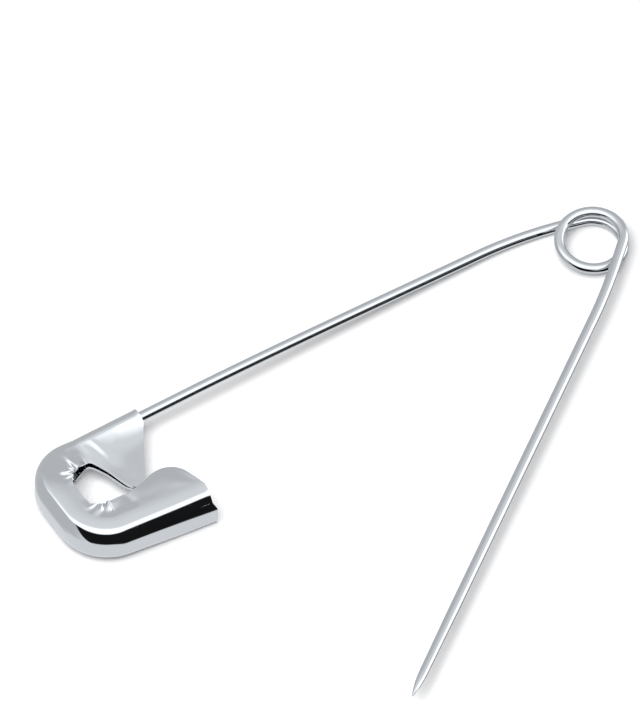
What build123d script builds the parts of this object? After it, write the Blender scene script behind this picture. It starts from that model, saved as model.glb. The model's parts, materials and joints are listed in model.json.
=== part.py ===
# A large safety pin: one bent spring-steel wire and one folded sheet cap.
#
# The wire is a fixed arm, a coil and a sharpened pin arm. It is modelled in four stretches. An
# elastic wire has no hinge: it bends over its whole length, and each place where one stretch
# meets the next stands for the bending near it.
#
# Frame, in mm: the coil axis is the z axis and z = 0 is the table. The fixed arm runs from the
# cap at -x to the coil, and the open pin arm points to -x and -y.
from build123d import *
from math import asin, ceil, cos, pi, radians, sin, sqrt, tan
import os

os.makedirs("parts", exist_ok=True)

# Whole pin
overall_length = 76.2           # outside of the coil to the closed end of the cap
wire_d = 1.2

# Coil, measured at the middle of the wire
coil_r = 3.6
turn_gap = 0.25                 # daylight between one turn and the next
open_angle = 36.6               # between the two arms when the pin hangs open

# Fixed arm
bow_angle = 17.0                # bend just before the coil
bow_length = 12.9
straight_length = 5.3           # straight wire in front of the cap
grip_clearance = 2.9            # end of the wire to where the cap begins to bend

# Pin arm, measured along it from where it leaves the coil
lead_length = 7.0               # up to the bend that lifts the arm
lead_set = 6.0                  # slight bend there, back towards the fixed arm
press_at = 30.0                 # up to the bend that presses it home
latched_angle = 9.4             # of its first stretch to the fixed arm when latched
press_angle = 10.2              # taken by the second bend when latched
tip_setback = 6.5               # latched tip to the closed end of the cap
tip_play = 0.35                 # latched tip to the inside of the fold
cup_play = 0.02                 # room round the round end of a stretch in its cup

# Needle point
taper_length = 13.0             # last stretch of the arm, where the wire thins
point_length = 3.6              # rounded tip, part of the taper
point_r = 0.52                  # wire radius where the rounded tip begins
tip_r = 0.05

# Cap
sheet = 0.4
cap_height = 4.9                # over both flaps on the pin side
cap_length = 16.3               # closed end to the mouth where the pin goes in
entry_setback = 0.8             # the edge on the wire side stands back from the mouth
splay_angle = 6.0               # the two sides of the cap close up towards its closed end
near_bend_r = 5.6               # outside bend next to the fixed arm
far_bend_r = 6.0                # outside bend next to the point
flap_length = 8.3               # longest flap, from the middle of the fold to its free edge
upper_fold_r = 2.2              # outside of the fold, between the wall and the upper flap
lower_fold_r = 0.7              # outside of the fold, between the wall and the lower flap
crimp_play = 0.05               # room between the wire and the sheet that grips it
crimp_wall = 0.04               # height of the wall left where the fold grips the wire
ground_flat = 0.02              # how far the underside is pressed flat

# Worked out from the above
wire_r = wire_d / 2
half_height = cap_height / 2
crimp_half = wire_r + crimp_play + sheet
crimp_share = crimp_half / half_height
cap_z = half_height - ground_flat
cap_far_x = coil_r + wire_r - overall_length
mouth_x = cap_far_x + cap_length
entry_x = mouth_x - entry_setback
arm_y = coil_r * cos(radians(bow_angle)) + bow_length * tan(radians(bow_angle / 2))
bow_x = coil_r * sin(radians(bow_angle)) - bow_length
wind_angle = 360 + 180 - open_angle - lead_set - bow_angle
one_turn_share = 360 / wind_angle


def eased(share):
    """A rise from 0 to 1 that starts and ends level."""
    return share - sin(2 * pi * share) / (2 * pi)


# The wire lies flat on the table at the start of the coil and again flat at its end. It climbs
# where it crosses from one turn to the next, just enough to keep the daylight between them.
coil_rise = (wire_d + turn_gap) / eased(one_turn_share)


def coil_point(share):
    """Place on the coil, from the fixed arm (0) to the pin arm (1)."""
    a = radians(bow_angle + wind_angle * share)
    return Vector(coil_r * sin(a), coil_r * cos(a), wire_r + coil_rise * eased(share))


def coil_heading(share):
    """Direction of the wire there, towards the pin arm."""
    a = radians(bow_angle + wind_angle * share)
    climb = coil_rise * (1 - cos(2 * pi * share)) / radians(wind_angle)
    return Vector(coil_r * cos(a), -coil_r * sin(a), climb).normalized()


def biarc(start, start_heading, end, end_heading):
    """Two arcs that join two places smoothly and keep both headings."""
    gap = end - start
    lean = gap.dot(start_heading + end_heading)
    spread = 2 * (1 - start_heading.dot(end_heading))
    reach = (sqrt(lean * lean + spread * gap.dot(gap)) - lean) / spread
    near = start + start_heading * reach
    far = end - end_heading * reach
    middle = (near + far) * 0.5
    TangentArc(start, middle, tangent=start_heading)
    TangentArc(middle, end, tangent=(far - near).normalized())


# Fixed arm: straight in the cap's grip, then a long fall to the table and a bend to the coil
grip_end = Vector(cap_far_x + near_bend_r + grip_clearance, arm_y, cap_z)
fall_start = Vector(entry_x + straight_length, arm_y, cap_z)
bow_slope = (cap_z - wire_r) / (bow_x - fall_start.X)
bow_start = Vector(bow_x, arm_y, wire_r + bow_slope * bow_length / 2)
bow_heading = Vector(1, 0, -bow_slope).normalized()

with BuildPart() as fixed_arm:
    with BuildLine() as fixed_path:
        Line(grip_end, fall_start)
        biarc(fall_start, Vector(1, 0, 0), bow_start, bow_heading)
        biarc(bow_start, bow_heading, coil_point(0), coil_heading(0))
    with BuildSketch(Plane(grip_end, x_dir=(0, 1, 0), z_dir=(1, 0, 0))):
        Circle(wire_r)
    sweep(path=fixed_path.wire())
fixed_arm.part.label = "fixed_arm"

# Coil with the lead to the first bend of the pin arm. Its end is a cup.
shank_length = press_at - lead_length
arm_heading = coil_heading(1).rotate(Axis.Z, -lead_set)
lift_point = coil_point(1) + coil_heading(1) * lead_length
press_point = lift_point + arm_heading * shank_length
arc_count = ceil(wind_angle / 90)
cup_r = wire_r + cup_play

with BuildPart() as coil_spring:
    with BuildLine() as coil_path:
        for i in range(arc_count):
            start, end = i / arc_count, (i + 1) / arc_count
            biarc(coil_point(start), coil_heading(start), coil_point(end), coil_heading(end))
        Line(coil_point(1), lift_point)
    with BuildSketch(Plane(coil_point(0), x_dir=(0, 0, 1), z_dir=coil_heading(0))):
        Circle(wire_r)
    sweep(path=coil_path.wire())
    with Locations(lift_point):
        Sphere(cup_r, mode=Mode.SUBTRACT)
coil_spring.part.label = "coil_spring"

# First stretch of the pin arm: a round end in the cup of the lead, and a cup of its own
cup_depth = sqrt(cup_r * cup_r - wire_r * wire_r)
cup_middle_angle = asin(wire_r / cup_r) / 2

with BuildPart() as pin_shank:
    with BuildSketch(Plane(lift_point, x_dir=arm_heading, z_dir=(0, 0, 1))):
        with BuildLine():
            CenterArc((0, 0), wire_r, 90, 90)
            Line((0, wire_r), (shank_length - cup_depth, wire_r))
            ThreePointArc(
                (shank_length - cup_depth, wire_r),
                (shank_length - cup_r * cos(cup_middle_angle), cup_r * sin(cup_middle_angle)),
                (shank_length - cup_r, 0),
            )
            Line((shank_length - cup_r, 0), (-wire_r, 0))
        make_face()
    revolve(axis=Axis(lift_point, arm_heading))
pin_shank.part.label = "pin_shank"

# Where the arm lies when it is latched, which sets its length and the place of the cap's wall
swing_angle = open_angle - latched_angle
home_turn = radians(latched_angle - press_angle)
latched_press = press_point.rotate(Axis.Z, -swing_angle)
tip_x = cap_far_x + tip_setback
stretch_length = (latched_press.X - tip_x) / cos(home_turn)
tip_y = latched_press.Y - stretch_length * sin(home_turn)

# Second stretch: round end, straight wire, long taper and the rounded needle tip
taper_start = stretch_length - taper_length
round_start = stretch_length - point_length

with BuildPart() as pin_point:
    with BuildSketch(Plane(press_point, x_dir=arm_heading, z_dir=(0, 0, 1))):
        with BuildLine():
            CenterArc((0, 0), wire_r, 90, 90)
            Line((0, wire_r), (taper_start, wire_r))
            Line((taper_start, wire_r), (round_start, point_r))
            TangentArc(
                (round_start, point_r),
                (stretch_length - tip_r, tip_r),
                tangent=(taper_length - point_length, point_r - wire_r),
            )
            Line((stretch_length - tip_r, tip_r), (stretch_length, 0))
            Line((stretch_length, 0), (-wire_r, 0))
        make_face()
    revolve(axis=Axis(press_point, arm_heading))
pin_point.part.label = "pin_point"

# Outside line of the cap seen from above: the wire side, a bend, the closed end, a bend and the
# pin side, which is a wall along the latched tip
wall_heading = Vector(cos(radians(splay_angle)), -sin(radians(splay_angle)), 0)
wall_inward = Vector(-wall_heading.Y, wall_heading.X, 0)
wall_at_tip = Vector(tip_x, tip_y, cap_z) - wall_inward * (tip_r + tip_play + sheet)
mouth = wall_at_tip + wall_heading * ((mouth_x - wall_at_tip.X) / wall_heading.X)
wall_length = (cap_length - far_bend_r + far_bend_r * wall_inward.X) / wall_heading.X
wall_start = mouth - wall_heading * wall_length
far_centre = wall_start + wall_inward * far_bend_r
near_centre = Vector(cap_far_x + near_bend_r, arm_y + crimp_half - near_bend_r, cap_z)
wire_side_length = entry_x - near_centre.X
end_length = near_centre.Y - far_centre.Y
far_bend_angle = 90 - splay_angle


def section_plane(side, share):
    """Upright plane across the fold. Its x points into the cap, its y points up."""
    if side == "wire side":
        origin = Vector(entry_x - wire_side_length * share, arm_y + crimp_half, cap_z)
        heading = Vector(-1, 0, 0)
    elif side == "near bend":
        a = radians(90 + 90 * share)
        origin = near_centre + Vector(cos(a), sin(a), 0) * near_bend_r
        heading = Vector(-sin(a), cos(a), 0)
    elif side == "closed end":
        origin = Vector(cap_far_x, near_centre.Y - end_length * share, cap_z)
        heading = Vector(0, -1, 0)
    elif side == "far bend":
        a = radians(180 + far_bend_angle * share)
        origin = far_centre + Vector(cos(a), sin(a), 0) * far_bend_r
        heading = Vector(-sin(a), cos(a), 0)
    else:
        origin = wall_start + wall_heading * wall_length * share
        heading = wall_heading
    return Plane(origin, x_dir=(-heading.Y, heading.X, 0), z_dir=heading)


# One row per section of the folded sheet: how far along its side it stands, its height as a share
# of half the cap height, and the length of its flaps as a share of the longest
section_shares = [
    ("wire side", 0.00, crimp_share, 0.13),
    ("wire side", 0.12, crimp_share, 0.37),
    ("wire side", 0.25, crimp_share, 0.63),
    ("wire side", 0.38, crimp_share, 0.89),
    ("wire side", 0.48, crimp_share, 1.00),
    ("wire side", 0.58, crimp_share, 0.93),
    ("wire side", 0.70, crimp_share, 0.52),
    ("wire side", 0.82, crimp_share, 0.31),
    ("wire side", 0.95, 0.55, 0.32),
    ("near bend", 0.25, 0.68, 0.31),
    ("near bend", 0.60, 0.86, 0.27),
    ("near bend", 0.95, 0.97, 0.20),
    ("closed end", 0.40, 1.00, 0.13),
    ("closed end", 0.85, 1.00, 0.15),
    ("far bend", 0.20, 1.00, 0.22),
    ("far bend", 0.50, 1.00, 0.27),
    ("far bend", 0.80, 1.00, 0.30),
    ("pin side", 0.03, 1.00, 0.31),
    ("pin side", 0.22, 1.00, 0.36),
    ("pin side", 0.38, 1.00, 0.51),
    ("pin side", 0.50, 1.00, 0.57),
    ("pin side", 0.62, 1.00, 0.55),
    ("pin side", 0.74, 1.00, 0.48),
    ("pin side", 0.84, 1.00, 0.35),
    ("pin side", 0.92, 1.00, 0.13),
    ("pin side", 1.00, 1.00, 0.02),
]
crimp_fold_r = crimp_half - crimp_wall / 2

with BuildPart() as clasp_cap:
    for side, place_share, height_share, flap_share in section_shares:
        half = half_height * height_share
        inner = half - sheet
        edge = half + flap_length * flap_share
        # The fold is round where it grips the wire and opens to an upright wall.
        opening = (height_share - crimp_share) / (1 - crimp_share)
        upper_r = crimp_fold_r + (upper_fold_r - crimp_fold_r) * opening
        lower_r = crimp_fold_r + (lower_fold_r - crimp_fold_r) * opening
        wall_top = half - upper_r
        wall_foot = lower_r - half
        with BuildSketch(section_plane(side, place_share)):
            with BuildLine():
                Line((edge, half), (upper_r, half))
                CenterArc((upper_r, wall_top), upper_r, 90, 90)
                Line((0, wall_top), (0, wall_foot))
                CenterArc((lower_r, wall_foot), lower_r, 180, 90)
                Line((lower_r, -half), (edge, -half))
                Line((edge, -half), (edge, -inner))
                Line((edge, -inner), (lower_r, -inner))
                CenterArc((lower_r, wall_foot), lower_r - sheet, 270, -90)
                Line((sheet, wall_foot), (sheet, wall_top))
                CenterArc((upper_r, wall_top), upper_r - sheet, 180, -90)
                Line((upper_r, inner), (edge, inner))
                Line((edge, inner), (edge, half))
            make_face()
    loft()
    # The underside is flat on the table.
    with Locations((cap_far_x, arm_y, -cap_height / 2)):
        Box(3 * cap_length, 3 * cap_length, cap_height, mode=Mode.SUBTRACT)
clasp_cap.part.label = "clasp_cap"

for piece in (clasp_cap, fixed_arm, coil_spring, pin_shank, pin_point):
    export_step(piece.part, f"parts/{piece.part.label}.step")
    print(piece.part.label, "volume, mm3:", round(piece.part.volume, 2))

# Least distance between wire surfaces, for places on the coil half a turn or more apart
sample_count = 240
samples = [coil_point(i / sample_count) for i in range(sample_count + 1)]
half_turn_count = ceil(sample_count * one_turn_share / 2)
least = min(
    (samples[j] - samples[i]).length
    for i in range(sample_count + 1)
    for j in range(i + half_turn_count, sample_count + 1)
)
print("least gap of the coil to itself, mm:", round(least - wire_d, 3))
print("coil top, mm:", round(2 * wire_r + coil_rise, 3))
print("lift point, mm:", [round(v, 4) for v in lift_point])
print("press point, mm:", [round(v, 4) for v in press_point])
print("arm heading:", [round(v, 6) for v in arm_heading])
print("mouth, mm:", [round(v, 3) for v in mouth], "arm length:", round(press_at + stretch_length, 2))
print("full-thickness pin arm beyond the lead, mm:", round(shank_length + taper_start, 3))
print("swing to latch, degrees:", round(swing_angle, 3))
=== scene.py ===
# %% [markdown]
# # A large safety pin
#
# A safety pin is two pieces of bright nickel-plated metal: a spring wire, bent into a coil
# between its two arms, and a folded sheet cap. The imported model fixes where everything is, in
# metres: the coil's axis is the z axis, z = 0 is the table and the fixed arm runs along x.
# This lesson keeps that frame and makes the surfaces that are seen: a wire that is smooth all
# the way round, a cap of real sheet with its creases, and the polish of both.

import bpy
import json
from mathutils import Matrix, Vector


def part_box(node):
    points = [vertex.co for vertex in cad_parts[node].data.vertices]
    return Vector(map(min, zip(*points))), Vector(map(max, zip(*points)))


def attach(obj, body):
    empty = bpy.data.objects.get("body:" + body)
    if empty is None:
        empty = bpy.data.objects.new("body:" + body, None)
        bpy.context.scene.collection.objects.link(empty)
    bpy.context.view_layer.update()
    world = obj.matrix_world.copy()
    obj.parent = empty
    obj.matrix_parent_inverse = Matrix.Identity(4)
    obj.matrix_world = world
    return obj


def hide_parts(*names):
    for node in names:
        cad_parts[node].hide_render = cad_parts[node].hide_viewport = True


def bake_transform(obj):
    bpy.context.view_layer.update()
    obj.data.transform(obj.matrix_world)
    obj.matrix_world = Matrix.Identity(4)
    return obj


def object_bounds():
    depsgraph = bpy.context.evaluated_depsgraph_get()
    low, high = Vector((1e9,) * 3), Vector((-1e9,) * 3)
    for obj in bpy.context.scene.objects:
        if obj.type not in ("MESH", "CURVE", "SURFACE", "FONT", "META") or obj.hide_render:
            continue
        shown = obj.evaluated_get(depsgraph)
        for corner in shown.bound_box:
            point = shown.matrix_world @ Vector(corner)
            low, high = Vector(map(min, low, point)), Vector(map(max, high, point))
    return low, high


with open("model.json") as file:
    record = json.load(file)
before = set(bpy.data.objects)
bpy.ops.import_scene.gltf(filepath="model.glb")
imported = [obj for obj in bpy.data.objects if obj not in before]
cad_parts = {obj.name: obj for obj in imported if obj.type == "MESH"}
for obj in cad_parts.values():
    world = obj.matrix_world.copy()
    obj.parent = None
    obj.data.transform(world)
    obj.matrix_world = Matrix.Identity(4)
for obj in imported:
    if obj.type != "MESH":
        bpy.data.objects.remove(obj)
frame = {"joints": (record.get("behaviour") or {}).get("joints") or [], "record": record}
cad_box = [list(corner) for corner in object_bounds()]

import json
import math

import bmesh
import bpy
import numpy as np
from mathutils import Vector, noise

# %% [markdown]
# ## Places
#
# The frame already knows most places: where each joint of the wire is, how thick the wire is
# and how far the cap reaches. The wire and the cap meet in the crimp, where the sheet is folded
# closely round the wire, so the sizes of the crimp come first. Every other size is named where
# it is first needed.

# %% Read places from the frame
MM = 0.001

joints = {joint["name"]: joint for joint in frame["joints"]}
mounts = {mount["name"]: mount for mount in frame["record"]["mounts"]}
lift_point = Vector(joints["pin_lift"]["pos_m"])
press_point = Vector(joints["pin_press"]["pos_m"])
wire_radius = mounts["pin_shaft"]["dims"]["r_mm"] * MM
coil_radius = mounts["coil_eye"]["dims"]["r_mm"] * MM + wire_radius
cap_low, cap_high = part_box("clasp_cap")
fixed_low, fixed_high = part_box("fixed_arm")
coil_low, coil_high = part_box("coil_spring")
point_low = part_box("pin_point")[0]

sheet = 0.4 * MM
crimp_play = 0.05 * MM
crimp_half = wire_radius + crimp_play + sheet
arm_y = cap_high.y - crimp_half
cap_middle_z = fixed_high.z - wire_radius

print("wire thickness, mm:", round(2 * wire_radius / MM, 3))
print("cap length, width and height, mm:", [round(v / MM, 2) for v in (cap_high - cap_low)])

# %% [markdown]
# ## Camera
#
# The photograph was taken from above and from the cap's side, with a long lens, so parallel
# lines stay parallel in it. The camera is placed by three facts read from the photograph: the
# direction, the number of pixels to a millimetre, and the pixel where the coil's middle is.
# It stands 3.2 m away, which is far enough for such a lens; much further away did not work.
# From much further away, the views of the pin's other sides came out empty.

# %% Place the camera
photo_width, photo_height = 640, 707
coil_pixel_x, coil_pixel_y = 591.4, 241.2
pixels_per_mm = 8.9
camera_azimuth = math.radians(-32.0)
camera_elevation = math.radians(53.6)
camera_distance = 3.2
sight_distance = 20 * camera_distance


def make_camera():
    """A long lens that sees the coil's middle at its pixel."""
    flat = math.cos(camera_elevation)
    back = Vector((
        math.sin(camera_azimuth) * flat,
        -math.cos(camera_azimuth) * flat,
        math.sin(camera_elevation),
    ))
    right = Vector((math.cos(camera_azimuth), math.sin(camera_azimuth), 0))
    up = back.cross(right)
    coil_middle = Vector((0, 0, (coil_low.z + coil_high.z) / 2))
    pixel = MM / pixels_per_mm
    across = (photo_width / 2 - coil_pixel_x) * pixel
    down = (photo_height / 2 - coil_pixel_y) * pixel
    data = bpy.data.cameras.new("camera")
    data.lens = data.sensor_width * camera_distance / (photo_height * pixel)
    data.clip_end = sight_distance
    camera = bpy.data.objects.new("camera", data)
    camera.location = coil_middle + right * across - up * down + back * camera_distance
    camera.rotation_mode = "QUATERNION"
    camera.rotation_quaternion = back.to_track_quat("Z", "Y")
    bpy.context.scene.collection.objects.link(camera)
    bpy.context.scene.camera = camera
    print("lens, mm:", round(data.lens))
    return back


towards_camera = make_camera()

# %% [markdown]
# ## Studio
#
# Polished metal has no colour of its own: it shows the room. The photograph's room is a pale
# tent with a dark opening on the camera's side. Each cylinder therefore shows, from its upper
# edge to its lower edge, a grey dome, a white band, a black band and a pale table. Real walls
# could be built round the pin, but it is shorter to let the world shader paint the room by
# direction. Shaders are easier to read when a small helper adds their nodes and joins them.

# %% Make a helper for nodes


class Wiring:
    """Small helper that adds nodes to a tree and joins them."""

    def __init__(self, tree):
        self.tree = tree

    def add(self, kind, **settings):
        node = self.tree.nodes.new(kind)
        for name, value in settings.items():
            setattr(node, name, value)
        return node

    def plug(self, value, socket):
        """Joins an output to a socket, or sets the socket to a plain value."""
        if isinstance(value, bpy.types.NodeSocket):
            self.tree.links.new(value, socket)
        else:
            socket.default_value = value

    def math(self, operation, *values, clamp=False):
        node = self.add("ShaderNodeMath", operation=operation, use_clamp=clamp)
        for value, socket in zip(values, node.inputs):
            self.plug(value, socket)
        return node.outputs[0]

    def times(self, first, second):
        return self.math("MULTIPLY", first, second)

    def ramp(self, value, start, end):
        """0 at start, 1 at end, smooth in between. The end may be the lower one."""
        node = self.add("ShaderNodeMapRange", interpolation_type="SMOOTHSTEP")
        self.plug(value, node.inputs["Value"])
        node.inputs["From Min"].default_value = start
        node.inputs["From Max"].default_value = end
        return node.outputs["Result"]

    def band(self, value, low, high, soft):
        """1 between low and high, 0 outside, with soft edges."""
        climb = self.ramp(value, low - soft, low + soft)
        fall = self.ramp(value, high - soft, high + soft)
        return self.math("SUBTRACT", climb, fall)

    def blend(self, share, first, second):
        """first where share is 0, second where it is 1."""
        node = self.add("ShaderNodeMix", data_type="FLOAT")
        self.plug(share, node.inputs["Factor"])
        self.plug(first, node.inputs["A"])
        self.plug(second, node.inputs["B"])
        return node.outputs["Result"]


# %% [markdown]
# ### The painted room
#
# Three numbers from -1 to 1 describe a direction: how far it points up, towards the camera and
# to the camera's right. The walls are darker far from the camera than near it. On them lie
# patches: a dim left wall, a bright window to the right with a shade under it, a bright
# ceiling and the near part of the table. The black opening comes last. It is on the camera's
# half only, its top is level and its foot is lower on the right.

# %% Say how bright the room is in each direction
camera_side = Vector((towards_camera.x, towards_camera.y, 0)).normalized()

wall_light = (0.62, 0.90)
wall_turn = (-0.78, -0.38)
# Light, heights (low, high, softness) and sides (start, full) of each patch
side_patches = [
    (0.62, (-0.75, 0.45, 0.10), (-0.50, -0.90)),
    (2.0, (-0.25, 0.50, 0.06), (0.62, 0.86)),
    (0.22, (-0.86, -0.50, 0.06), (0.55, 0.80)),
]
ceiling_light = 1.5
ceiling_heights = (0.44, 0.52)
ceiling_fronts = (-0.34, 0.0)
table_light = 0.84
table_heights = (-0.45, -0.70)
table_fronts = (-0.1, 0.3)
opening_light = 0.010
opening_fronts = (0.05, 0.30)
opening_sides = (-1.0, -0.45)
opening_tops = (0.45, 0.51)
opening_foot_heights = (-0.52, -0.66)
opening_foot_sides = (0.20, 0.66)
foot_softness = 0.05
closed_foot_height = 0.50
least_flat = 0.0001


def direction_parts(nodes):
    """Outputs for up, towards the camera, to its right, and the level share of a direction."""
    split = nodes.add("ShaderNodeSeparateXYZ")
    nodes.plug(nodes.add("ShaderNodeTexCoord").outputs["Generated"], split.inputs[0])
    x, y, up = split.outputs
    level = nodes.math("SUBTRACT", 1.0, nodes.times(up, up))
    flat = nodes.math("SQRT", nodes.math("MAXIMUM", level, least_flat))
    front = nodes.math("ADD", nodes.times(x, camera_side.x), nodes.times(y, camera_side.y))
    right = nodes.math("ADD", nodes.times(x, -camera_side.y), nodes.times(y, camera_side.x))
    return up, nodes.math("DIVIDE", front, flat), nodes.math("DIVIDE", right, flat), flat


def room_light(nodes):
    """Output with the brightness of the room in each direction."""
    up, towards, right_side, flat = direction_parts(nodes)
    front = nodes.times(towards, flat)
    room = nodes.blend(nodes.ramp(front, *wall_turn), *wall_light)
    for light, heights, sides in side_patches:
        patch = nodes.times(nodes.band(up, *heights), nodes.ramp(right_side, *sides))
        room = nodes.blend(patch, room, light)
    ceiling = nodes.times(nodes.ramp(up, *ceiling_heights), nodes.ramp(front, *ceiling_fronts))
    room = nodes.blend(ceiling, room, ceiling_light)
    table = nodes.times(nodes.ramp(up, *table_heights), nodes.ramp(towards, *table_fronts))
    room = nodes.blend(table, room, table_light)
    foot = nodes.blend(nodes.ramp(right_side, *opening_foot_sides), *opening_foot_heights)
    half = nodes.times(nodes.ramp(towards, *opening_fronts), nodes.ramp(right_side, *opening_sides))
    foot = nodes.blend(half, closed_foot_height, foot)
    over_foot = nodes.ramp(nodes.math("SUBTRACT", up, foot), -foot_softness, foot_softness)
    over_top = nodes.ramp(up, *opening_tops)
    opening = nodes.math("SUBTRACT", over_foot, over_top, clamp=True)
    return nodes.blend(opening, room, opening_light)


print("patches at the sides:", len(side_patches))

# %% [markdown]
# Only reflections see the painted room. The camera sees plain white instead, as in the
# photograph, and the matt floor is lit by a plain even sky.

# %% Paint the room
sky_strength = 0.38
tent_colour = (0.92, 0.96, 1.0, 1)
white = (1, 1, 1, 1)


def paint_room():
    """World shader: white to the camera, the painted tent to reflections, sky to the rest."""
    world = bpy.data.worlds.new("tent")
    world.use_nodes = True
    bpy.context.scene.world = world
    world.node_tree.nodes.clear()
    nodes = Wiring(world.node_tree)
    tent = nodes.add("ShaderNodeBackground")
    tent.inputs["Color"].default_value = tent_colour
    nodes.plug(room_light(nodes), tent.inputs["Strength"])
    sky = nodes.add("ShaderNodeBackground")
    sky.inputs["Color"].default_value = white
    sky.inputs["Strength"].default_value = sky_strength
    paper = nodes.add("ShaderNodeBackground")
    paper.inputs["Color"].default_value = white
    ray = nodes.add("ShaderNodeLightPath")
    mirrored = nodes.add("ShaderNodeMixShader")
    nodes.plug(ray.outputs["Is Glossy Ray"], mirrored.inputs[0])
    nodes.plug(sky.outputs[0], mirrored.inputs[1])
    nodes.plug(tent.outputs[0], mirrored.inputs[2])
    choose = nodes.add("ShaderNodeMixShader")
    nodes.plug(ray.outputs["Is Camera Ray"], choose.inputs[0])
    nodes.plug(mirrored.outputs[0], choose.inputs[1])
    nodes.plug(paper.outputs[0], choose.inputs[2])
    output = nodes.add("ShaderNodeOutputWorld")
    nodes.plug(choose.outputs[0], output.inputs["Surface"])
    print("world nodes:", len(world.node_tree.nodes))


paint_room()
bpy.context.scene.view_settings.view_transform = "Standard"

# %% [markdown]
# ### Floor and lamp
#
# The floor is a plain matt white sheet that reflections leave out, so that the painted room is
# all they see. A large soft lamp hangs nearly overhead, a little towards the cap's end, and
# throws the short soft shadow that the photograph shows to the lower right of every wire.
# Reflections leave it out too.

# %% Make the floor and the lamp
floor_size = 6.0
floor_colour = (0.9, 0.9, 0.905, 1)
lamp_size = 0.52
lamp_distance = 0.5
lamp_azimuth = math.radians(185)
lamp_elevation = math.radians(74)
lamp_power = 3.2


def make_floor():
    bpy.ops.mesh.primitive_plane_add(size=floor_size)
    floor = bpy.context.object
    floor.name = "floor"
    material = bpy.data.materials.new("pale table")
    material.use_nodes = True
    surface = material.node_tree.nodes["Principled BSDF"]
    surface.inputs["Base Color"].default_value = floor_colour
    surface.inputs["Roughness"].default_value = 1.0
    surface.inputs["Specular IOR Level"].default_value = 0.0
    floor.data.materials.append(material)
    floor.visible_glossy = False


def make_lamp():
    data = bpy.data.lights.new("soft lamp", "AREA")
    data.shape = "DISK"
    data.size = lamp_size
    data.energy = lamp_power
    lamp = bpy.data.objects.new("soft lamp", data)
    flat = math.cos(lamp_elevation)
    away = Vector((
        math.cos(lamp_azimuth) * flat,
        math.sin(lamp_azimuth) * flat,
        math.sin(lamp_elevation),
    ))
    middle = (Vector(cad_box[0]) + Vector(cad_box[1])) / 2
    lamp.location = middle + away * lamp_distance
    lamp.rotation_mode = "QUATERNION"
    lamp.rotation_quaternion = away.to_track_quat("Z", "Y")
    lamp.visible_glossy = False
    bpy.context.scene.collection.objects.link(lamp)
    print("lamp is at, m:", [round(v, 2) for v in lamp.location])


make_floor()
make_lamp()

# %% [markdown]
# ## Finishes
#
# Wire and cap are both plated with bright nickel, so they share two effects, and each effect is
# a node group that is built once. "polish haze" is the faint cloudiness that handling leaves on
# a bright plate: it only moves the roughness a little. "fine dents" is the slight unevenness of
# rolled and drawn metal: it only tilts the normal, and it is what makes reflections waver.

# %% Build the shared effects
haze_start, haze_full = 0.42, 0.68
haze_detail = 3
dent_detail = 2


def new_group(name, inputs, outputs):
    """Empty shader group with named sockets, as (tree, input node, output node)."""
    tree = bpy.data.node_groups.new(name, "ShaderNodeTree")
    for label, kind, value in inputs:
        socket = tree.interface.new_socket(label, in_out="INPUT", socket_type=kind)
        if value is not None:
            socket.default_value = value
    for label, kind in outputs:
        tree.interface.new_socket(label, in_out="OUTPUT", socket_type=kind)
    return tree, tree.nodes.new("NodeGroupInput"), tree.nodes.new("NodeGroupOutput")


def build_polish_haze():
    tree, given, result = new_group(
        "polish haze",
        [
            ("Vector", "NodeSocketVector", None),
            ("Patch Scale", "NodeSocketFloat", 300.0),
            ("Fine Scale", "NodeSocketFloat", 4000.0),
            ("Clear", "NodeSocketFloat", 0.05),
            ("Hazy", "NodeSocketFloat", 0.15),
        ],
        [("Roughness", "NodeSocketFloat")],
    )
    nodes = Wiring(tree)
    patches = nodes.add("ShaderNodeTexNoise")
    nodes.plug(given.outputs["Vector"], patches.inputs["Vector"])
    nodes.plug(given.outputs["Patch Scale"], patches.inputs["Scale"])
    patches.inputs["Detail"].default_value = haze_detail
    fine = nodes.add("ShaderNodeTexNoise")
    nodes.plug(given.outputs["Vector"], fine.inputs["Vector"])
    nodes.plug(given.outputs["Fine Scale"], fine.inputs["Scale"])
    cloud = nodes.ramp(patches.outputs["Fac"], haze_start, haze_full)
    share = nodes.times(cloud, fine.outputs["Fac"])
    roughness = nodes.blend(share, given.outputs["Clear"], given.outputs["Hazy"])
    nodes.plug(roughness, result.inputs["Roughness"])
    return tree


def build_fine_dents():
    tree, given, result = new_group(
        "fine dents",
        [
            ("Vector", "NodeSocketVector", None),
            ("Scale", "NodeSocketFloat", 500.0),
            ("Stretch", "NodeSocketVector", (1.0, 1.0, 1.0)),
            ("Strength", "NodeSocketFloat", 0.1),
            ("Depth", "NodeSocketFloat", 0.02 * MM),
        ],
        [("Normal", "NodeSocketVector")],
    )
    nodes = Wiring(tree)
    stretched = nodes.add("ShaderNodeVectorMath", operation="MULTIPLY")
    nodes.plug(given.outputs["Vector"], stretched.inputs[0])
    nodes.plug(given.outputs["Stretch"], stretched.inputs[1])
    dents = nodes.add("ShaderNodeTexNoise")
    nodes.plug(stretched.outputs[0], dents.inputs["Vector"])
    nodes.plug(given.outputs["Scale"], dents.inputs["Scale"])
    dents.inputs["Detail"].default_value = dent_detail
    bump = nodes.add("ShaderNodeBump")
    nodes.plug(given.outputs["Strength"], bump.inputs["Strength"])
    nodes.plug(given.outputs["Depth"], bump.inputs["Distance"])
    nodes.plug(dents.outputs["Fac"], bump.inputs["Height"])
    nodes.plug(bump.outputs["Normal"], result.inputs["Normal"])
    return tree


polish_haze = build_polish_haze()
fine_dents = build_fine_dents()
print("shared effects:", [group.name for group in bpy.data.node_groups])

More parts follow.
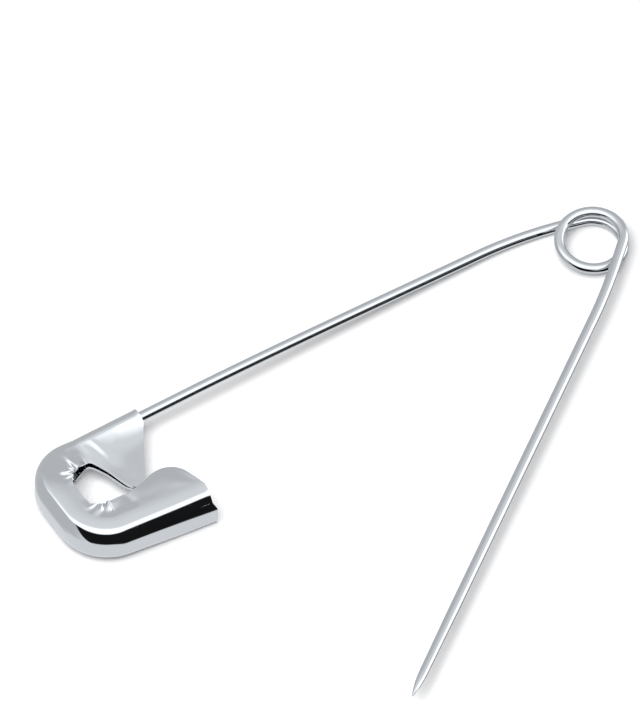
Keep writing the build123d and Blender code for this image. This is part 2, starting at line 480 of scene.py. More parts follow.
# %% [markdown]
# A finish is a Principled shader with the two effects plugged in. The wire is drawn through a
# die, so its unevenness is stretched along its length: the wire carries an attribute that says
# how far along and how far round each point is, and the dents follow it. The cap is rolled
# sheet, so its dents are as wide as they are long and follow the object's own coordinates.
# The plate's colour also drifts a little over both, because plating is never quite even.

# %% Make the two finishes
tone_scale = 90
tone_drift = 0.03


def nickel(name, colour, vector_from, haze, dents):
    """Plated metal. The dents follow the object's place or a named attribute."""
    material = bpy.data.materials.new(name)
    material.use_nodes = True
    nodes = Wiring(material.node_tree)
    surface = material.node_tree.nodes["Principled BSDF"]
    surface.inputs["Metallic"].default_value = 1.0
    object_place = nodes.add("ShaderNodeTexCoord").outputs["Object"]
    if vector_from == "object":
        vector = object_place
    else:
        vector = nodes.add("ShaderNodeAttribute", attribute_name=vector_from).outputs["Vector"]
    tone = nodes.add("ShaderNodeTexNoise")
    nodes.plug(object_place, tone.inputs["Vector"])
    tone.inputs["Scale"].default_value = tone_scale
    colours = nodes.add("ShaderNodeMix", data_type="RGBA")
    nodes.plug(tone.outputs["Fac"], colours.inputs["Factor"])
    colours.inputs["A"].default_value = (*[(1 - tone_drift) * v for v in colour], 1)
    colours.inputs["B"].default_value = (*[(1 + tone_drift) * v for v in colour], 1)
    nodes.plug(colours.outputs["Result"], surface.inputs["Base Color"])
    haze_node = nodes.add("ShaderNodeGroup", node_tree=polish_haze)
    nodes.plug(object_place, haze_node.inputs["Vector"])
    for label, value in haze.items():
        haze_node.inputs[label].default_value = value
    nodes.plug(haze_node.outputs["Roughness"], surface.inputs["Roughness"])
    dents_node = nodes.add("ShaderNodeGroup", node_tree=fine_dents)
    nodes.plug(vector, dents_node.inputs["Vector"])
    for label, value in dents.items():
        dents_node.inputs[label].default_value = value
    nodes.plug(dents_node.outputs["Normal"], surface.inputs["Normal"])
    print("finish:", name)
    return material


WIRE_PLACE = "wire_place"
wire_finish = nickel(
    "drawn wire nickel",
    (0.70, 0.705, 0.715),
    WIRE_PLACE,
    {"Patch Scale": 220.0, "Fine Scale": 3500.0, "Clear": 0.06, "Hazy": 0.16},
    {"Scale": 1400.0, "Stretch": (0.08, 1.0, 1.0), "Strength": 0.12, "Depth": 0.02 * MM},
)
cap_finish = nickel(
    "rolled sheet nickel",
    (0.74, 0.745, 0.755),
    "object",
    {"Patch Scale": 260.0, "Fine Scale": 3500.0, "Clear": 0.05, "Hazy": 0.14},
    {"Scale": 420.0, "Strength": 0.10, "Depth": 0.04 * MM},
)

# %% [markdown]
# ## The wire
#
# The real wire is one length of spring steel. It could be modelled as one tube, but it has to
# bend with the joints, so it is four tubes that meet end to end, each with the same ring of
# points where they meet. A tube follows a path, which is what Geometry Nodes are good at: the
# tree below takes a curve whose points carry the wire's radius and wraps a round profile on it.
# It also stores, on every point, how far along and how far round it lies, for the finish.

# %% Geometry Nodes tree that draws wire along a path


def build_wire_tree():
    tree = bpy.data.node_groups.new("wire along path", "GeometryNodeTree")
    for label, kind in (
        ("Path", "NodeSocketGeometry"),
        ("Sides", "NodeSocketInt"),
        ("Wire Radius", "NodeSocketFloat"),
        ("Finish", "NodeSocketMaterial"),
    ):
        tree.interface.new_socket(label, in_out="INPUT", socket_type=kind)
    tree.interface.new_socket("Wire", in_out="OUTPUT", socket_type="NodeSocketGeometry")
    nodes = Wiring(tree)
    given = nodes.add("NodeGroupInput")
    result = nodes.add("NodeGroupOutput")

    def store(geometry, name, kind, value):
        """Keeps a value on every point of the geometry under a name."""
        node = nodes.add("GeometryNodeStoreNamedAttribute", data_type=kind)
        node.inputs["Name"].default_value = name
        nodes.plug(geometry, node.inputs["Geometry"])
        nodes.plug(value, node.inputs["Value"])
        return node.outputs["Geometry"]

    def read(name, kind):
        node = nodes.add("GeometryNodeInputNamedAttribute", data_type=kind)
        node.inputs["Name"].default_value = name
        return node.outputs["Attribute"]

    length = nodes.add("GeometryNodeSplineParameter").outputs["Length"]
    path = store(given.outputs["Path"], "along", "FLOAT", length)
    ring = nodes.add("GeometryNodeCurvePrimitiveCircle")
    nodes.plug(given.outputs["Sides"], ring.inputs["Resolution"])
    ring.inputs["Radius"].default_value = 1.0
    place = nodes.add("GeometryNodeInputPosition").outputs[0]
    profile = store(ring.outputs["Curve"], "around", "FLOAT_VECTOR", place)
    wrap = nodes.add("GeometryNodeCurveToMesh")
    nodes.plug(path, wrap.inputs["Curve"])
    nodes.plug(profile, wrap.inputs["Profile Curve"])
    nodes.plug(nodes.add("GeometryNodeInputRadius").outputs[0], wrap.inputs["Scale"])
    wrap.inputs["Fill Caps"].default_value = True
    around = nodes.add("ShaderNodeSeparateXYZ")
    nodes.plug(read("around", "FLOAT_VECTOR"), around.inputs[0])
    both = nodes.add("ShaderNodeCombineXYZ")
    nodes.plug(read("along", "FLOAT"), both.inputs["X"])
    for source, axis in (("X", "Y"), ("Y", "Z")):
        real_size = nodes.times(around.outputs[source], given.outputs["Wire Radius"])
        nodes.plug(real_size, both.inputs[axis])
    tube = store(wrap.outputs["Mesh"], WIRE_PLACE, "FLOAT_VECTOR", both.outputs[0])
    smooth = nodes.add("GeometryNodeSetShadeSmooth")
    nodes.plug(tube, smooth.inputs["Geometry"])
    real = nodes.add("GeometryNodeRealizeInstances")
    nodes.plug(smooth.outputs["Geometry"], real.inputs["Geometry"])
    coat = nodes.add("GeometryNodeSetMaterial")
    nodes.plug(real.outputs["Geometry"], coat.inputs["Geometry"])
    nodes.plug(given.outputs["Finish"], coat.inputs["Material"])
    nodes.plug(coat.outputs["Geometry"], result.inputs["Wire"])
    return tree


wire_tree = build_wire_tree()
print("wire tree nodes:", len(wire_tree.nodes))

# %% [markdown]
# The tree works as a modifier on a curve. Its inputs are set by their identifiers, and then the
# evaluated curve is taken out as a plain mesh and the curve itself is thrown away.

# %% Turn a path into a piece of wire
wire_sides = 48


def plain_mesh(shape, name):
    """What an object's modifiers make of it, as a mesh of its own."""
    bpy.context.view_layer.update()
    shown = shape.evaluated_get(bpy.context.evaluated_depsgraph_get())
    mesh = bpy.data.meshes.new_from_object(shown)
    mesh.name = name
    return mesh


def path_length(places):
    return sum((b - a).length for a, b in zip(places, places[1:]))


def draw_wire(name, places, radii):
    """Turns a path of places, with a radius at each, into a finished mesh of wire."""
    data = bpy.data.curves.new(name + " path", "CURVE")
    data.dimensions = "3D"
    spline = data.splines.new("POLY")
    spline.points.add(len(places) - 1)
    for point, place, radius in zip(spline.points, places, radii):
        point.co = (*place, 1)
        point.radius = radius
    path = bpy.data.objects.new(name + " path", data)
    bpy.context.scene.collection.objects.link(path)
    modifier = path.modifiers.new("wire", "NODES")
    modifier.node_group = wire_tree
    sockets = {item.name: item.identifier for item in wire_tree.interface.items_tree}
    modifier[sockets["Sides"]] = wire_sides
    modifier[sockets["Wire Radius"]] = wire_radius
    modifier[sockets["Finish"]] = wire_finish
    mesh = plain_mesh(path, name)
    path.modifiers.remove(modifier)
    bpy.data.objects.remove(path)
    wire = bpy.data.objects.new(name, mesh)
    bpy.context.scene.collection.objects.link(wire)
    print(name, "length, mm:", round(path_length(places) / MM, 2), "faces:", len(mesh.polygons))
    return wire


# %% [markdown]
# ### Fixed arm
#
# The arm runs straight out of the cap, falls slowly to the table and bends into the coil. Its
# line is three cubic curves with the right headings at their ends, sampled closely.

# %% Find where the fixed arm turns
cap_length = 16.3 * MM
entry_setback = 0.8 * MM
straight_length = 5.3 * MM
bow_angle = math.radians(17.0)
bow_length = 12.9 * MM

entry_x = cap_low.x + cap_length - entry_setback
fixed_end = Vector((fixed_low.x, arm_y, cap_middle_z))
fall_start = Vector((entry_x + straight_length, arm_y, cap_middle_z))
bow_x = coil_radius * math.sin(bow_angle) - bow_length
coil_bottom_z = wire_radius
bow_slope = (cap_middle_z - coil_bottom_z) / (bow_x - fall_start.x)
bow_start = Vector((bow_x, arm_y, coil_bottom_z + bow_slope * bow_length / 2))
coil_start = Vector((
    coil_radius * math.sin(bow_angle),
    coil_radius * math.cos(bow_angle),
    coil_bottom_z,
))
coil_start_heading = Vector((math.cos(bow_angle), -math.sin(bow_angle), 0))
print("the arm falls by, mm:", round((cap_middle_z - coil_bottom_z) / MM, 2))

# %% Draw the fixed arm
step = 0.25 * MM


def curve_between(start, start_heading, end, end_heading):
    """Places on a smooth curve that keeps both headings, without its last place."""
    gap = (end - start).length
    count = max(2, math.ceil(gap / step))
    pull = gap / 3
    near = start + start_heading.normalized() * pull
    far = end - end_heading.normalized() * pull
    places = []
    for i in range(count):
        t = i / count
        u = 1 - t
        places.append(start * u**3 + near * (3 * u * u * t) + far * (3 * u * t * t) + end * t**3)
    return places


along_x = Vector((1, 0, 0))
bow_heading = Vector((1, 0, -bow_slope))
fixed_places = (
    curve_between(fixed_end, along_x, fall_start, along_x)
    + curve_between(fall_start, along_x, bow_start, bow_heading)
    + curve_between(bow_start, bow_heading, coil_start, coil_start_heading)
    + [coil_start]
)
fixed_wire = draw_wire("fixed_arm_wire", fixed_places, [wire_radius] * len(fixed_places))
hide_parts("fixed_arm")
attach(fixed_wire, "frame")

# %% [markdown]
# ### Coil and lead
#
# The coil is one turn and a third. It starts flat on the table and climbs on its way round, so
# that it ends level on top of itself. Its end heads 6 degrees more outwards than the arm, and
# the first stretch of the arm, the lead, takes that bend back smoothly.

# %% Draw the coil with its lead
arm_heading = (press_point - lift_point).normalized()
lead_length = 7.0 * MM
lead_set = math.radians(6.0)
set_half_length = 4.0 * MM
coil_top_z = lift_point.z
lead_angle = math.atan2(-arm_heading.y, -arm_heading.x) + lead_set
wind_angle = 3 * math.pi - lead_angle - bow_angle


def eased(share):
    """A rise from 0 to 1 that starts and ends level."""
    return share - math.sin(2 * math.pi * share) / (2 * math.pi)


def coil_place(share):
    a = bow_angle + wind_angle * share
    z = coil_bottom_z + (coil_top_z - coil_bottom_z) * eased(share)
    return Vector((coil_radius * math.sin(a), coil_radius * math.cos(a), z))


def arm_places(start, first, last):
    """Places along the pin arm from start, between two distances from the coil's end."""
    count = max(2, math.ceil((last - first) / step))
    piece = (last - first) / count
    places = [Vector(start)]
    for i in range(count):
        middle = first + (i + 0.5) * piece
        share = (middle - lead_length + set_half_length) / (2 * set_half_length)
        share = min(1.0, max(0.0, share))
        angle = lead_angle - lead_set * share
        places.append(places[-1] - Vector((math.cos(angle), math.sin(angle), 0)) * piece)
    return places


coil_step_count = math.ceil(coil_radius * wind_angle / step)
coil_places = [coil_place(i / coil_step_count) for i in range(coil_step_count)]
lead_places = arm_places(coil_place(1), 0, lead_length)
coil_wire_places = coil_places + lead_places
coil_wire = draw_wire("coil_wire", coil_wire_places, [wire_radius] * len(coil_wire_places))
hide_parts("coil_spring")
print("turns:", round(wind_angle / (2 * math.pi), 2))
print("lead ends off the lift point by, mm:", round((lead_places[-1] - lift_point).length / MM, 3))

# %% [markdown]
# ### Pin arm
#
# The arm is two tubes, a short one and a longer one that ends in the needle: a long
# taper and then a rounded point, which is an arc that meets the taper without a corner.

# %% Draw the pin arm and its needle point
shank_length = 8.0 * MM
taper_length = 13.0 * MM
point_length = 3.6 * MM
point_radius = 0.52 * MM
tip_radius = 0.05 * MM
needle_end_radius = 0.15 * tip_radius
tip_place = Vector((point_low.x, point_low.y, lift_point.z))
shank_split = lead_length + shank_length
arm_length = lead_length + (tip_place - lift_point).dot(arm_heading)
taper_begin = arm_length - taper_length
point_begin = arm_length - point_length


def arm_radius(distance):
    """Radius of the wire at a distance from the coil's end."""
    if distance <= taper_begin:
        return wire_radius
    slope = (wire_radius - point_radius) / (taper_length - point_length)
    if distance <= point_begin:
        return wire_radius - slope * (distance - taper_begin)
    x = distance - point_begin
    bulge = (point_radius - tip_radius - slope * point_length) / point_length**2
    return max(needle_end_radius, point_radius - slope * x - bulge * x * x)


shank_places = arm_places(lead_places[-1], lead_length, shank_split)
shank_wire = draw_wire("pin_shank_wire", shank_places, [wire_radius] * len(shank_places))
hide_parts("pin_shank")

point_places = arm_places(shank_places[-1], shank_split, arm_length)
point_step = (arm_length - shank_split) / (len(point_places) - 1)
point_radii = [arm_radius(shank_split + i * point_step) for i in range(len(point_places))]
point_radii[-1] = needle_end_radius
point_wire = draw_wire("pin_point_wire", point_places, point_radii)
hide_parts("pin_point")
print("needle tip is off its place by, mm:", round((point_places[-1] - tip_place).length / MM, 3))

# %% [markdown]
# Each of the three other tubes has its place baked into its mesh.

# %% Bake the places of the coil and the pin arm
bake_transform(coil_wire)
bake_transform(shank_wire)
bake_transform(point_wire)

# %% [markdown]
# ## The cap
#
# The cap is one blank of sheet folded over itself. Seen from above, the fold follows the
# outline: along the fixed arm, round the closed end and back along the pin. Seen along the
# fold it is a U with an upper and a lower flap. A boolean model of this looks like a casting,
# so the sheet is drawn as a grid instead: one direction walks along the fold, the other
# unrolls the U from the edge of the upper flap to the edge of the lower one.

# %% Walk along the fold
splay_angle = math.radians(6.0)
near_bend_radius = 5.6 * MM
far_bend_radius = 6.0 * MM

wall_heading = Vector((math.cos(splay_angle), -math.sin(splay_angle), 0))
wall_inward = Vector((math.sin(splay_angle), math.cos(splay_angle), 0))
mouth = Vector((cap_low.x + cap_length, cap_low.y, cap_middle_z))
near_centre = Vector((cap_low.x + near_bend_radius, cap_high.y - near_bend_radius, cap_middle_z))
wall_length = (
    (mouth.x - cap_low.x - far_bend_radius + far_bend_radius * wall_inward.x) / wall_heading.x
)
far_centre = mouth - wall_heading * wall_length + wall_inward * far_bend_radius
side_lengths = {
    "wire side": entry_x - near_centre.x,
    "near bend": near_bend_radius * math.pi / 2,
    "closed end": near_centre.y - far_centre.y,
    "far bend": far_bend_radius * (math.pi / 2 - splay_angle),
    "pin side": wall_length,
}
side_starts = dict(zip(side_lengths, np.cumsum([0, *side_lengths.values()])))
fold_length = sum(side_lengths.values())


def fold_frame(distance):
    """Outermost place of the fold and the direction into the cap, at a distance along it."""
    side = [name for name in side_starts if side_starts[name] <= max(distance, 0)][-1]
    walked = distance - side_starts[side]
    if side == "wire side":
        return Vector((entry_x - walked, cap_high.y, cap_middle_z)), Vector((0, -1, 0))
    if side == "closed end":
        return Vector((cap_low.x, near_centre.y - walked, cap_middle_z)), Vector((1, 0, 0))
    if side == "pin side":
        return mouth - wall_heading * (wall_length - walked), wall_inward
    near = side == "near bend"
    centre, radius = (near_centre, near_bend_radius) if near else (far_centre, far_bend_radius)
    angle = (math.pi / 2 if near else math.pi) + walked / radius
    outward = Vector((math.cos(angle), math.sin(angle), 0))
    return centre + outward * radius, -outward


print("fold length, mm:", round(fold_length / MM, 2))
print("mouth, mm:", [round(v / MM, 2) for v in mouth])

# %% [markdown]
# The blank's outline is cut to a shape: a triangle of upper flap over the wire, almost nothing
# at the closed end, where the window is, and a rounded lobe over the pin. Each table holds, side
# by side along the fold, pairs of a place on that side, from 0 to 1, and a share: of the cap's
# half height, or of the longest flap for the reach of each flap.

# %% Say how high and how wide the folded sheet is
cap_half_height = cap_high.z / 2
flap_length = 8.3 * MM
crimp_share = crimp_half / cap_half_height
height_shares = {
    "wire side": [(0.00, crimp_share), (0.80, crimp_share), (0.95, 0.55)],
    "near bend": [(0.25, 0.68), (0.60, 0.86), (0.95, 0.97)],
    "closed end": [(0.40, 1.00)],
    "pin side": [(1.00, 1.00)],
}
upper_flap_shares = {
    "wire side": [
        (0.00, 0.13), (0.12, 0.37), (0.25, 0.63), (0.38, 0.89), (0.48, 1.00),
        (0.58, 0.93), (0.70, 0.52), (0.82, 0.31), (0.95, 0.32),
    ],
    "near bend": [(0.25, 0.31), (0.60, 0.27), (0.95, 0.20)],
    "closed end": [(0.40, 0.13), (0.85, 0.15)],
    "far bend": [(0.20, 0.22), (0.50, 0.27), (0.80, 0.30)],
    "pin side": [
        (0.03, 0.31), (0.22, 0.33), (0.40, 0.39), (0.52, 0.47), (0.64, 0.50),
        (0.76, 0.46), (0.87, 0.35), (0.94, 0.18), (1.00, 0.00),
    ],
}
lower_flap_shares = {
    "wire side": [
        (0.00, 0.13), (0.12, 0.35), (0.25, 0.60), (0.38, 0.86), (0.50, 0.97),
        (0.60, 0.88), (0.72, 0.50), (0.84, 0.30), (0.97, 0.30),
    ],
    "near bend": [(0.30, 0.29), (0.62, 0.25), (0.95, 0.19)],
    "closed end": [(0.40, 0.13), (0.85, 0.15)],
    "far bend": [(0.25, 0.22), (0.55, 0.27), (0.85, 0.30)],
    "pin side": [
        (0.10, 0.33), (0.26, 0.40), (0.40, 0.50), (0.54, 0.54), (0.68, 0.46),
        (0.82, 0.31), (0.92, 0.13), (1.00, 0.02),
    ],
}
print("the longest flap reaches, mm:", round(flap_length / MM, 2))

# %% [markdown]
# A function has to pass through a table's pairs without bumps between them, or the edge of the
# sheet would look dented. A cubic curve does so if its slope at each pair is the harmonic mean
# of the slopes before and after it, and level where the table turns.

# %% Join the pairs of a table smoothly


def smooth_table(table):
    """A function of the distance along the fold that passes through the table's pairs."""
    rows = [(side, place, value) for side, pairs in table.items() for place, value in pairs]
    xs = np.array([side_starts[side] + place * side_lengths[side] for side, place, _ in rows])
    ys = np.array([value for _, _, value in rows])
    slopes = np.diff(ys) / np.diff(xs)
    ends = np.zeros(len(xs))
    for i in range(1, len(xs) - 1):
        before, after = slopes[i - 1], slopes[i]
        if before * after > 0:
            ends[i] = 2 * before * after / (before + after)
    ends[0], ends[-1] = slopes[0], slopes[-1]

    def value_at(distance):
        i = int(np.clip(np.searchsorted(xs, distance) - 1, 0, len(xs) - 2))
        width = xs[i + 1] - xs[i]
        t = min(1.0, max(0.0, (distance - xs[i]) / width))
        rest = 1 - t
        return (
            ys[i] * (1 + 2 * t) * rest * rest
            + ys[i + 1] * t * t * (3 - 2 * t)
            + width * (ends[i] * t * rest * rest - ends[i + 1] * t * t * rest)
        )

    return value_at


height_at = smooth_table(height_shares)
upper_reach_at = smooth_table(upper_flap_shares)
lower_reach_at = smooth_table(lower_flap_shares)
print("half height of the crimp, mm:", round(cap_half_height * height_at(0) / MM, 2))
print("half height of the open side, mm:", round(cap_half_height * height_at(fold_length) / MM, 2))

# %% [markdown]
# Three more tables shape the U itself. The lower fold is one arc, which is softer round the
# closed end than beside the wire and the pin. The upper fold has three arcs: a wide flank
# above the upright wall, a tight shoulder and a shallow crown. The flank widens towards the
# mouth, and the whole section is set in by a fraction of a millimetre there.

# %% Say how round the folds are
soft_shares = {
    "wire side": [(0.90, 0.0)],
    "near bend": [(0.80, 0.4)],
    "closed end": [(0.40, 0.6)],
    "far bend": [(0.60, 0.6)],
    "pin side": [(0.20, 0.3), (0.60, 0.0)],
}
flank_radii_mm = {
    "wire side": [(0.90, 2.4)],
    "far bend": [(0.60, 2.5)],
    "pin side": [(0.20, 2.7), (0.50, 2.9), (1.00, 3.4)],
}
insets_mm = {
    "near bend": [(0.10, 0.00), (0.80, 0.05)],
    "closed end": [(0.50, 0.03)],
    "far bend": [(0.60, 0.20)],
    "pin side": [(0.50, 0.24), (1.00, 0.24)],
}
softness_at = smooth_table(soft_shares)
flank_mm_at = smooth_table(flank_radii_mm)
inset_mm_at = smooth_table(insets_mm)
print("flank radius at the mouth, mm:", round(flank_mm_at(fold_length), 2))

# %% [markdown]
# ### Pressed, domed and pleated
#
# Three things make it sheet metal rather than a smooth shell. The first two are large shapes.
# Beyond the wire both flaps are pressed together, so a ridge over the wire is left standing: a
# flap hugs the wire until it has the slope that it falls with, and then eases out to flat. And
# the lobe over the pin is domed.

# %% Press the flaps together and dome the lobe
crimp_drop = 0.82 * MM
crimp_rise = 0.36 * MM
crimp_end_before, crimp_end_after = 2.2 * MM, 0.8 * MM
mouth_slope = math.radians(26)
bend_slope = math.radians(16)
slope_change_share = 0.8
dome_drop = 0.75 * MM
dome_reach = flap_length * 0.7
dome_half_blend = 3 * MM
near_bend_start = side_starts["near bend"]
pin_side_start = side_starts["pin side"]


def rise(value, low, high):
    """0 below low, 1 above high, smooth in between."""
    t = min(1.0, max(0.0, (value - low) / (high - low)))
    return t * t * (3 - 2 * t)


def crimped(distance):
    """1 where the flaps are pressed together round the wire."""
    return 1 - rise(distance, near_bend_start - crimp_end_before, near_bend_start + crimp_end_after)


def crimp_fall(x, drop, distance):
    """Fall of a flap from the top of the wire: round over the wire, then easing out to flat."""
    slope_change = rise(distance, 0, slope_change_share * near_bend_start)
    crimp_slope = mouth_slope + (bend_slope - mouth_slope) * slope_change
    over_wire = crimp_half * math.sin(crimp_slope)
    round_fall = crimp_half * (1 - math.cos(crimp_slope))
    width = 2 * (drop - round_fall) / math.tan(crimp_slope)
    past = x - crimp_half
    if past <= 0:
        return 0.0
    if past <= over_wire:
        return crimp_half - math.sqrt(crimp_half**2 - past**2)
    share = min(1.0, (past - over_wire) / width)
    return round_fall + (drop - round_fall) * share * (2 - share)


def domed(distance):
    """1 where the upper flap is the lobe over the pin."""
    return rise(distance, pin_side_start - dome_half_blend, pin_side_start + dome_half_blend)


print("the tongue's edge falls by, mm:", round(crimp_fall(flap_length, crimp_drop, 0) / MM, 2))

# %% [markdown]
# The third is fine. At the inside of each bend there is too much sheet, so it buckles into
# small pleats that start at the free edge and die out towards the fold. They could be sculpted
# one by one, but noise in the sheet's own directions, narrow along the edge and long across
# it, buckles in the same way. Smaller facets lie on top. The flaps are also slightly wavy, and
# the edge of the window is a little ragged.

# %% Pleat the bends and roughen the edge
pleat_length_share = 2.6
facet_width_share, facet_length_share = 0.6, 0.8
narrow_weight, facet_weight, valley_weight = 1.3, 0.8, 0.6
facet_seed = 7.3
outer_fade, inner_fade = 1.6 * MM, 1.0 * MM
least_fade = 0.001
near_pleats = {
    "bend_start": near_bend_start - 1.0 * MM,
    "bend_end": side_starts["closed end"],
    "width": 2.0 * MM,
    "spacing": 1.7 * MM,
    "depth": 0.32 * MM,
}
far_pleats = {
    "bend_start": side_starts["far bend"],
    "bend_end": pin_side_start + 2.5 * MM,
    "width": 3.4 * MM,
    "spacing": 2.4 * MM,
    "depth": 0.34 * MM,
}
far_seed = 31.0
waviness = 0.07 * MM
wave_length, wave_width = 3.4 * MM, 2.2 * MM
wave_seed = 50.0
wave_fade_start, wave_fade_end = -0.5 * MM, 1.5 * MM
fold_fade = 1.2 * MM
rag_depth, rag_length = 0.16 * MM, 0.8 * MM
rag_fade, rag_end = 1 * MM, 2 * MM


def pleat(distance, from_edge, seed, bend_start, bend_end, width, spacing, depth):
    """Height of the pleats at the inside of one bend."""
    edge_fade = math.exp(-((from_edge / width) ** 2))
    along_fade = rise(distance, bend_start - outer_fade, bend_start + inner_fade)
    along_fade *= 1 - rise(distance, bend_end - inner_fade, bend_end + outer_fade)
    if edge_fade * along_fade < least_fade:
        return 0.0
    narrow = noise.noise(Vector((
        distance / spacing,
        from_edge / (pleat_length_share * spacing),
        seed,
    )))
    facets = noise.noise(Vector((
        distance / (facet_width_share * spacing),
        from_edge / (facet_length_share * spacing),
        seed + facet_seed,
    )))
    folds = narrow_weight * narrow + facet_weight * facets - valley_weight * abs(narrow)
    return depth * edge_fade * along_fade * folds


def sheet_height(distance, from_edge, from_fold, seed):
    """Pleats of both bends together, and the slow waviness of the flaps between them."""
    height = pleat(distance, from_edge, seed, **near_pleats)
    height += pleat(distance, from_edge, seed + far_seed, **far_pleats)
    place = Vector((distance / wave_length, from_edge / wave_width, seed + wave_seed))
    height += waviness * noise.noise(place) * rise(from_edge, wave_fade_start, wave_fade_end)
    return height * rise(from_fold, 0.0, fold_fade)


def raggedness(distance, seed):
    """Small raggedness of the window's edge."""
    mask = rise(distance, near_bend_start - rag_fade, near_bend_start + rag_fade)
    mask *= 1 - rise(distance, pin_side_start - rag_fade, pin_side_start + rag_end)
    return mask * rag_depth * noise.noise(Vector((distance / rag_length, seed, 0)))


print("pleat depths, mm:", [round(bend["depth"] / MM, 2) for bend in (near_pleats, far_pleats)])

# %% [markdown]
# ### One row of the grid
#
# A row unrolls the U at one place along the fold, from the upper free edge over the upper
# fold, down the wall, round the lower fold and out to the lower free edge. It is drawn flat
# first, with x into the cap and z up. At the crimp both folds are quarter circles that hug the
# wire, and where the cap is open they have their own radii. The opening says how far a row is
# from one to the other: 0 at the crimp and 1 in the open cap.

# %% Unroll the upper half of a row
upper_count, arc_count, wall_count, lower_count = 44, 8, 5, 34
fold_elevations = (0, 45, 80, 90)
shoulder_radius = 0.85 * MM
crown_radius = 8.0 * MM
least_crown_radius = 0.1 * MM
edge_room = 0.1 * MM
least_wall = 0.02 * MM
crimp_fold_radius = crimp_half - least_wall
upper_seed, upper_rag_seed = 1.0, 2.0


def upper_fold(opening, reach, flank_radius):
    """Places (x, z) over the upper fold, from the flat flap down to the wall's top at z = 0."""
    open_radii = (flank_radius, shoulder_radius, crown_radius)
    radii = [crimp_fold_radius + (radius - crimp_fold_radius) * opening for radius in open_radii]
    sines = [math.sin(math.radians(v)) for v in fold_elevations]
    cosines = [math.cos(math.radians(v)) for v in fold_elevations]
    taken = sum(r * (a - b) for r, a, b in zip(radii[:2], cosines, cosines[1:]))
    room = (reach - taken) / (cosines[2] - cosines[3])
    radii[2] = max(least_crown_radius, min(radii[2], room))
    places = [(0.0, 0.0)]
    for arc, radius in enumerate(radii):
        x, z = places[-1]
        low, high = fold_elevations[arc], fold_elevations[arc + 1]
        for i in range(1, arc_count + 1):
            angle = math.radians(low + (high - low) * (i / arc_count))
            places.append((
                x + radius * (cosines[arc] - math.cos(angle)),
                z + radius * (math.sin(angle) - sines[arc]),
            ))
    return places[::-1]


def upper_half(distance, half, opening):
    """Places from the upper free edge to the top of the wall."""
    edge = half + flap_length * upper_reach_at(distance) + raggedness(distance, upper_rag_seed)
    pressed, dome = crimped(distance), domed(distance)
    fold = upper_fold(opening, edge - edge_room, flank_mm_at(distance) * MM)
    fold_width, fold_height = fold[0]
    wall_top = half - fold_height
    places = []
    for i in range(upper_count):
        x = edge + (fold_width - edge) * i / upper_count
        z = half + sheet_height(distance, edge - x, x - fold_width, upper_seed)
        z -= pressed * crimp_fall(x, crimp_drop, distance)
        z -= dome * dome_drop * max(0.0, (x - fold_width) / dome_reach) ** 2
        places.append((x, z))
    for x, z in fold:
        places.append((x, wall_top + z - pressed * crimp_fall(x, crimp_drop, distance)))
    return places


print("places in an upper half:", len(upper_half(fold_length, cap_half_height, 1.0)))

# %% Unroll the lower half of a row
lower_fold_radius = 0.7 * MM
soft_fold_radius = 1.9 * MM
lower_seed, lower_rag_seed = 5.0, 9.0
lower_height_share = 0.6


def lower_half(distance, half, opening):
    """Places from the foot of the wall to the lower free edge."""
    open_radius = lower_fold_radius + (soft_fold_radius - lower_fold_radius) * softness_at(distance)
    radius = crimp_fold_radius + (open_radius - crimp_fold_radius) * opening
    wall_foot = radius - half
    edge = half + flap_length * lower_reach_at(distance) + raggedness(distance, lower_rag_seed)
    pressed = crimped(distance)
    places = []
    for i in range(arc_count + 1):
        angle = math.pi * (1 + i / arc_count / 2)
        places.append((radius * (1 + math.cos(angle)), wall_foot + radius * math.sin(angle)))
    for i in range(1, lower_count + 1):
        x = radius + (edge - radius) * i / lower_count
        z = -half - lower_height_share * sheet_height(distance, edge - x, x - radius, lower_seed)
        z += pressed * crimp_fall(x, crimp_rise, distance)
        places.append((x, z))
    return places


print("places in a lower half:", len(lower_half(fold_length, cap_half_height, 1.0)))

# %% [markdown]
# The whole row is then put where the fold is. At the very end of the crimp it flares a little,
# as a pressed sheet does, and at the mouth its upper part stands back at a slant. No place may
# lie under the table.

# %% Place the rows along the fold
flare = 0.07 * MM
flare_length = 0.5 * MM
mouth_slant = 0.5 * MM
slant_length = 4.0 * MM
slant_height_share = 0.6
row_step = 0.16 * MM


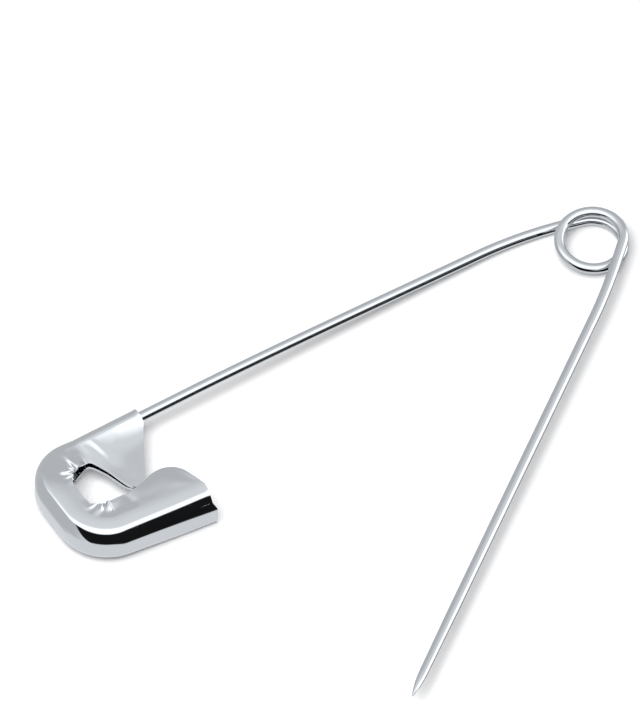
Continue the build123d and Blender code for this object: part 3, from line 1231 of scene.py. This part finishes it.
def section(distance):
    """Places of the outer skin across the sheet, from upper edge to lower edge."""
    height_share = height_at(distance)
    opening = (height_share - crimp_share) / (1 - crimp_share)
    half = cap_half_height * height_share
    if distance < flare_length:
        half += flare * (1 - distance / flare_length) ** 2
    upper = upper_half(distance, half, opening)
    lower = lower_half(distance, half, opening)
    top, foot = upper[-1][1], lower[0][1]
    wall = [(0, top + (foot - top) * i / wall_count) for i in range(1, wall_count)]
    origin, inward = fold_frame(distance)
    origin = origin + inward * inset_mm_at(distance) * MM
    slant = mouth_slant * rise(distance, fold_length - slant_length, fold_length)
    places = []
    for x, z in upper + wall + lower:
        back = slant * rise(z, 0.0, slant_height_share * half)
        place = origin + inward * x + Vector((0, 0, z)) - wall_heading * back
        place.z = max(place.z, 0.0)
        places.append(place)
    return places


row_count = math.ceil(fold_length / row_step)
rows = [section(fold_length * i / row_count) for i in range(row_count + 1)]
print("rows:", len(rows), "places in each:", len(rows[0]))

# %% [markdown]
# ### Sheet and edges
#
# The grid is the outer skin. Solidify gives it its thickness inwards, so the outside stays
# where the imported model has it, and Bevel rounds the sheared edges, which catch the light. The
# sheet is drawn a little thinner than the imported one, which makes its cut edges finer.

# %% Draw the sheet and give it its thickness
shown_sheet = 0.32 * MM
edge_rounding = 0.12 * MM
edge_segments = 3
edge_angle = math.radians(50)


def draw_cap():
    mesh = bpy.data.meshes.new("cap_sheet")
    bm = bmesh.new()
    grid = [[bm.verts.new(place) for place in row] for row in rows]
    for row, next_row in zip(grid, grid[1:]):
        for i in range(len(row) - 1):
            bm.faces.new((row[i], row[i + 1], next_row[i + 1], next_row[i]))
    for face in bm.faces:
        face.smooth = True
    bm.to_mesh(mesh)
    bm.free()
    cap = bpy.data.objects.new("cap_sheet", mesh)
    bpy.context.scene.collection.objects.link(cap)
    return cap


def finish_sheet(cap):
    """Solidify and Bevel, applied, so that a plain mesh is left."""
    thick = cap.modifiers.new("thickness", "SOLIDIFY")
    thick.thickness = shown_sheet
    thick.offset = -1
    soften = cap.modifiers.new("sheared edges", "BEVEL")
    soften.width = edge_rounding
    soften.segments = edge_segments
    soften.limit_method = "ANGLE"
    soften.angle_limit = edge_angle
    mesh = plain_mesh(cap, "cap_sheet")
    mesh.materials.clear()
    mesh.materials.append(cap_finish)
    cap.modifiers.clear()
    cap.data = mesh


cap = draw_cap()
finish_sheet(cap)
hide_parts("clasp_cap")
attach(cap, "frame")
print("cap faces:", len(cap.data.polygons))

# %% Print the imported model's box
print("packed box, mm:", [[round(v / MM, 2) for v in corner] for corner in cad_box])
